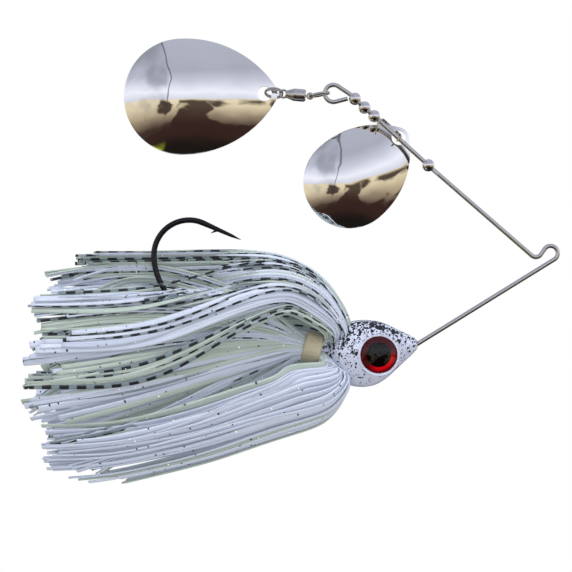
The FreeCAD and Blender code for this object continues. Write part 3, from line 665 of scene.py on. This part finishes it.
def folded_strand(angle, tail_angle, depth, reach):
    """A front half: out of the collar towards the head, over, and back along the outside."""
    front = angle
    tight = 0.0
    if 0 < angle < PARTING[0]:
        front = angle * MOUTH[0] / PARTING[0]
        tight = ease(1 - (MOUTH[0] - front) / TIGHTENED)
    elif PARTING[0] <= angle < math.pi:
        front = MOUTH[1] + (angle - PARTING[1]) * (math.pi - MOUTH[1]) / (math.pi - PARTING[1])
        tight = ease(1 - (front - MOUTH[1]) / TIGHTENED)
    fold = FOLD_FRONT - (1 - depth) * 14 - 3.2 * tight + dice.uniform(-0.9, 0.3)
    points = [
        on_collar(0.6, front, 1.6),
        on_collar(-1.8, front, 2.2),
        on_collar(-4.2 + 1.2 * tight, front, 3.4),
        between(fold, front, (0.46 - 0.10 * tight) * depth),
        between(fold - 0.2, front, (0.86 - 0.30 * tight) * depth),
        between(fold - 4.2, front, (0.99 - 0.36 * tight) * depth),
        between(fold - 9.0, front, (1.00 - 0.28 * tight) * depth),
    ]
    for x in FOLD_STATIONS:
        turn = front + (tail_angle - front) * ease((-48 - x) / 46)
        points.append(in_skirt(x, turn, depth * (1 - 0.12 * tight * ease((x + 88) / 30))))
    points.append(in_skirt(reach, tail_angle, depth))
    return smooth_line(points)


def fanned_strand(angle, tail_angle, depth, reach):
    """A rear half: straight out of the back of the collar, spreading towards the tail."""
    points = [on_collar(-0.5, angle, 1.4), on_collar(2.2, angle, 2.5), on_collar(4.6, angle, 3.4)]
    for x, share in FAN_STATIONS:
        turn = angle + (tail_angle - angle) * ease((-56 - x) / 40)
        points.append(between(x, turn, depth * share))
    points.append(in_skirt(reach, tail_angle, depth))
    return smooth_line(points)


def evenly_round(count, first=0.0, last=2 * math.pi):
    """Angles that are equally spaced along the outside of the skirt."""
    angles = np.linspace(first, last, 721)
    steps = np.hypot(23.5 * np.sin(angles), 14 * np.cos(angles))
    travelled = np.concatenate([[0.0], np.cumsum(steps[:-1])])
    return list(np.interp(np.linspace(0, travelled[-1], count, endpoint=False), travelled, angles))


FINISH_SHARES = {  # milky, chartreuse, barred and glittered strands
    "upper": (0.15, 0.15, 0.50, 0.20),
    "lower": (0.86, 0.08, 0.03, 0.03),
    "fan": (0.42, 0.24, 0.20, 0.14),
}
PLAIN, PRINTED = (0, 1), (2, 3)
LOCK_SPARE = (-1.5, -0.5, 0.5, 1.5, 4.0, 7.0)  # how far short of the skirt's end a lock stops
MOST_OVER = -1.5
BELLY = -0.3  # cosine of the angle where the pale underside begins
strands = []


def add_locks(make, angles, depths, lock_size, fan):
    """Strands in locks: those of one lock lie together and end together, never two printed in a row."""
    while angles:
        lock = [angles.pop(0) for _ in range(min(len(angles), dice.randint(*lock_size)))]
        lock_angle = sum(lock) / len(lock)
        depth = dice.uniform(*depths)
        lean = dice.gauss(0, 0.06)
        gather = dice.uniform(0.55, 1.0)
        spare = dice.choice(LOCK_SPARE)
        slope = dice.uniform(-1.2, 1.2)
        shares = FINISH_SHARES["fan" if fan else "upper" if math.cos(lock_angle) > BELLY else "lower"]
        kind = dice.choices(PLAIN + PRINTED, shares)[0]
        for place, angle in enumerate(lock):
            if place and kind in PRINTED:
                kind = dice.choices(PLAIN, shares[:2])[0]
            elif dice.random() < 0.8:
                kind = dice.choices(PLAIN + PRINTED, shares)[0]
            tail_angle = lock_angle + (angle - lock_angle) * gather + lean + dice.gauss(0, 0.006)
            height = in_skirt(TAIL_STATION, tail_angle, depth)[2]
            reach = np.interp(height, end_height, end_reach) + max(MOST_OVER, spare + slope * place)
            reach += dice.uniform(-0.3, 0.3)
            line, travelled = make(angle, tail_angle, depth, reach)
            sway = np.sin(travelled / dice.uniform(5, 10) + dice.uniform(0, 6)) * ease(travelled / 30)
            line = line + around(tail_angle + math.pi / 2) * (sway * dice.uniform(0, 0.45))[:, None]
            strands.append((tail_angle, kind, beside_hook(line), travelled, depth))


def folds(count):
    """The angles of one layer of folded strands, without the parting."""
    return [angle for angle in evenly_round(count) if not PARTING[0] < angle < PARTING[1]]


add_locks(folded_strand, folds(116), (0.955, 1.0), (2, 6), False)
add_locks(folded_strand, folds(90), (0.84, 0.93), (2, 5), False)
add_locks(fanned_strand, evenly_round(40), (0.74, 0.90), (2, 4), True)
add_locks(fanned_strand, evenly_round(46, 0.6, 2.9), (0.90, 0.97), (2, 4), True)
add_locks(fanned_strand, evenly_round(22), (0.20, 0.55), (2, 4), True)
STRAY_ANGLE = 0.86  # one barred strand strays across the front of the hook
strands.append((STRAY_ANGLE, PRINTED[0], *folded_strand(0.45, STRAY_ANGLE, 1.0, -110.5), 1.0))
RIBBON_SECTION = ((-0.5, 0), (-0.3, 0.5), (0.3, 0.5), (0.5, 0), (0.3, -0.5), (-0.3, -0.5))
CORNERS = len(RIBBON_SECTION)
PLAIN_WIDTHS, PRINTED_WIDTHS = (1.05, 1.75), (0.95, 1.35)
BELLY_FLATNESS = 0.45  # under the lure the plain strands are wider and lie flatter
BELLY_WIDENING = 1.385
THICKNESSES = (0.32, 0.46)


def ribbon(line, outward, width, thickness, roll):
    """Rings of points along a strand: a flat strip with soft edges."""
    forward = np.gradient(line, axis=0)
    forward /= np.linalg.norm(forward, axis=1, keepdims=True)
    outward = outward - forward * np.sum(outward * forward, axis=1, keepdims=True)
    outward /= np.linalg.norm(outward, axis=1, keepdims=True)
    beside = np.cross(forward, outward)
    swing = roll[:, None]
    flat = beside * np.cos(swing) + outward * np.sin(swing)
    face = outward * np.cos(swing) - beside * np.sin(swing)
    edges = [line + flat * across * width + face * out * thickness for across, out in RIBBON_SECTION]
    return np.stack(edges, axis=1)


def strand_piece(name, node, members, finishes):
    """One bunch of strands as a single mesh."""
    points = []
    faces = []
    runs = []
    kinds = []
    for number, (angle, kind, line, travelled, _) in enumerate(members):
        outward = line - (0.0, 0.0, SKIRT_AXIS_HEIGHT)
        outward[:, 0] = np.clip((line[:, 0] + 52) * 2.0, 0, 12)
        width = dice.uniform(*(PLAIN_WIDTHS if kind in PLAIN else PRINTED_WIDTHS))
        roll = dice.gauss(0, 0.25)
        roll = roll + 0.35 * np.sin(travelled * dice.uniform(0.03, 0.09) + dice.uniform(0, 6))
        if math.cos(angle) < -0.2 and kind in PLAIN:
            width *= BELLY_WIDENING
            roll *= BELLY_FLATNESS
        start = len(points)
        points.extend(ribbon(line, outward, width, dice.uniform(*THICKNESSES), roll).reshape(-1, 3) * MM)
        across = [number + 0.02 + 0.96 * (place + 0.5) for place, _ in RIBBON_SECTION]
        for ring in range(SAMPLES - 1):
            near = start + ring * CORNERS
            for corner in range(CORNERS):
                after = (corner + 1) % CORNERS
                faces.append((near + corner, near + after, near + CORNERS + after, near + CORNERS + corner))
                for station, edge in ((ring, corner), (ring, after), (ring + 1, after), (ring + 1, corner)):
                    runs.append((travelled[station], across[edge]))
        ends = [range(start + CORNERS - 1, start - 1, -1), range(len(points) - CORNERS, len(points))]
        for station, end in zip((0, -1), ends):
            faces.append(tuple(end))
            runs.extend([(travelled[station], number + 0.5)] * CORNERS)
        kinds.extend([kind] * (len(faces) - len(kinds)))
    mesh = bpy.data.meshes.new(name)
    mesh.from_pydata(points, [], faces)
    run_map = mesh.uv_layers.new(name="strand_run")
    run_map.data.foreach_set("uv", np.array(runs, dtype=np.float32).ravel())
    for finish in finishes:
        mesh.materials.append(finish)
    mesh.polygons.foreach_set("material_index", kinds)
    mesh.shade_smooth()
    item = bpy.data.objects.new(name, mesh)
    bpy.context.scene.collection.objects.link(item)
    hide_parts(node)
    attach(item, "arm_and_head")


BAR_PITCH = 3.9
FLECK = (0.42, 0.10)  # cells per mm, and the largest dot's size in a cell
GLITTER = (1.9, 0.30)
INK_BLACK = (0.006, 0.007, 0.009)
TAIL_DARKENING = (0.07, 0.09, 0.10)
PALE_FOIL = (0.9, 0.95, 0.8)


def silicone(name, dark, light, fleck_share, glitter_share, clearness=0.0):
    """Tinted and streaked along its run, with black flecks and glitter; the clearer ones have bars. Each
    strand glows faintly in its own colour, painted light that lifts the shade between strands, and its
    glitter glows more as painted glints.
    """
    finish = Finish(name)
    run = finish.node("ShaderNodeUVMap", {"uv_map": "strand_run"})
    along, across = finish.part(run, 0), finish.part(run, 1)
    strand_number = across.maths("FLOOR", across)
    chance = finish.node("ShaderNodeTexWhiteNoise", {"noise_dimensions": "1D"}, {"W": strand_number})
    streak_place = finish.node("ShaderNodeCombineXYZ", None, {"X": along * 0.06, "Y": across * 1.6})
    streak = finish.noise(streak_place, 2.0, 4.0)
    tone = finish.mix(streak * 0.7 + chance * 0.5 - 0.12, dark, light)
    flat_place = finish.node("ShaderNodeCombineXYZ", None, {"X": along, "Y": across * 1.3})

    def dots(scale, radius, share):
        near, shade = finish.cells(flat_place, scale, flat=True)
        size = finish.channel(shade, 1) * radius * 0.6 + radius * 0.4
        return finish.channel(shade, 0).above(1 - share, 0.001) * (size - near).above(0.0, 0.03), shade

    black, _ = dots(*FLECK, fleck_share)
    if clearness:
        # The barred and glittered strands turn darker towards their tail end.
        tone = finish.mix(along.above(34, 20) * 0.55, tone, TAIL_DARKENING)
        bar = (along / BAR_PITCH + chance * 7.3).wrapped().above(0.45, 0.03)
        bar_width = chance * 0.24 + 0.10 + along * 0.0065
        bar = bar * (bar_width - across.wrapped()).above(0.0, 0.05)
        black = 1 - (1 - black) * (1 - bar)
    tone = finish.mix(black, tone, INK_BLACK)
    spark, spark_shade = dots(*GLITTER, glitter_share)
    glitter_and_glint_colour = finish.mix(0.72, spark_shade, PALE_FOIL)
    tone = finish.mix(spark * 0.9, tone, glitter_and_glint_colour)
    return finish.surface(
        Base_Color=tone,
        Roughness=0.42 - spark * 0.25 + streak * 0.12,
        Alpha=1 - (1 - black) * clearness if clearness else 1.0,
        # Painted light: the strands glow in their own colour to lift the shade between them, and the
        # glitter dots glow brighter as painted glints.
        Emission_Color=finish.mix(spark * 0.8, tone, glitter_and_glint_colour),
        Emission_Strength=0.30,
        Subsurface_Weight=0.25,
        Subsurface_Radius=(1.0, 1.0, 1.0),
        Subsurface_Scale=MM,
        Normal=finish.bump(streak, 0.15),
    )


strand_finishes = [
    silicone("milky_silicone", (0.27, 0.30, 0.37), (0.45, 0.485, 0.56), 0.35, 0.008),
    silicone("chartreuse_silicone", (0.20, 0.24, 0.215), (0.35, 0.40, 0.355), 0.25, 0.008),
    silicone("barred_silicone", (0.13, 0.165, 0.185), (0.30, 0.35, 0.38), 0.15, 0.008, 0.3),
    silicone("glittered_silicone", (0.12, 0.17, 0.175), (0.28, 0.34, 0.34), 0.30, 0.14, 0.2),
]
BUNDLES = 12
CORE_DEPTH = 0.6  # strands nearer the middle than this belong to the core
bunches = [[] for _ in range(BUNDLES + 1)]
for strand in strands:
    from_side = (math.degrees(strand[0]) + 90) % 360
    bunches[BUNDLES if strand[4] < CORE_DEPTH else int(from_side // (360 / BUNDLES))].append(strand)
for number, members in enumerate(bunches[:BUNDLES], 1):
    strand_piece(f"skirt_strands_{number:02d}", f"skirt_bundle_{number:02d}", members, strand_finishes)
strand_piece("skirt_strands_core", "skirt_inner_strands", bunches[BUNDLES], strand_finishes)
